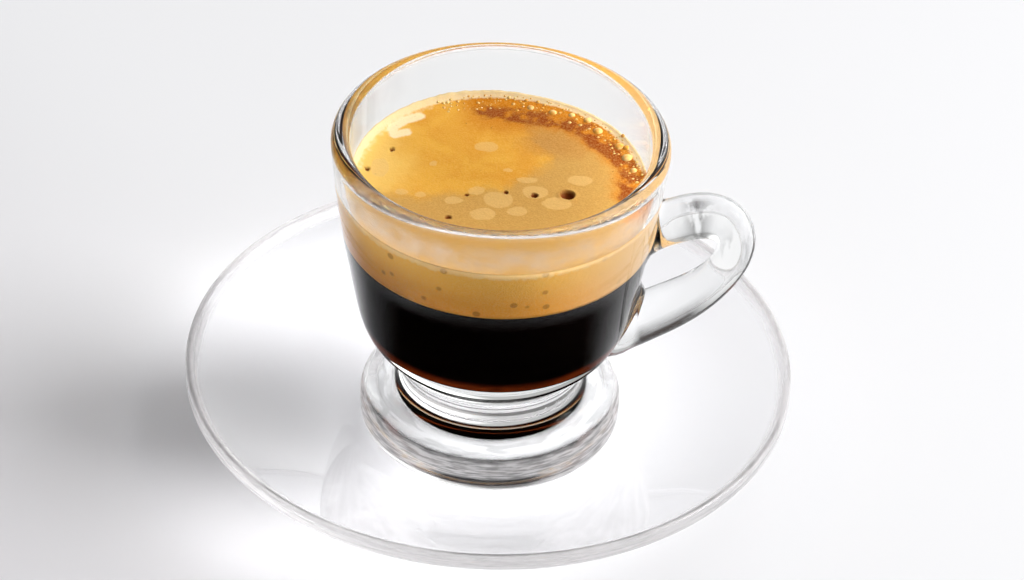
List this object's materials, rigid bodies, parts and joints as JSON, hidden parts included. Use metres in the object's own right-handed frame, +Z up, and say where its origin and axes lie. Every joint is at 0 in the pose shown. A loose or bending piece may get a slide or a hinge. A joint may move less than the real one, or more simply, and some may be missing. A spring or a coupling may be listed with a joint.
{
  "type": "double espresso in a glass cup and saucer",
  "caption": "Thick clear glass espresso cup with handle and heavy foot, holding dark espresso under a deep golden crema, standing on a clear glass saucer.",
  "frame": {"origin": "centre of the saucer's underside, on the surface it stands on", "axes": "+Z up; +X towards the cup's handle; -Y towards the viewer of the picture"},
  "size_m": [0.115, 0.115, 0.0687],
  "materials": {
    "clear_glass": "clear fire-polished pressed glass",
    "dark_coffee": "near-black brown liquid, glossy",
    "golden_foam": "fine golden foam, softly matte with a slight wet sheen"
  },
  "bodies": {
    "root": {"saucer": "clear_glass", "cup": "clear_glass", "espresso": "dark_coffee", "crema": "golden_foam"}
  },
  "joints": []
}
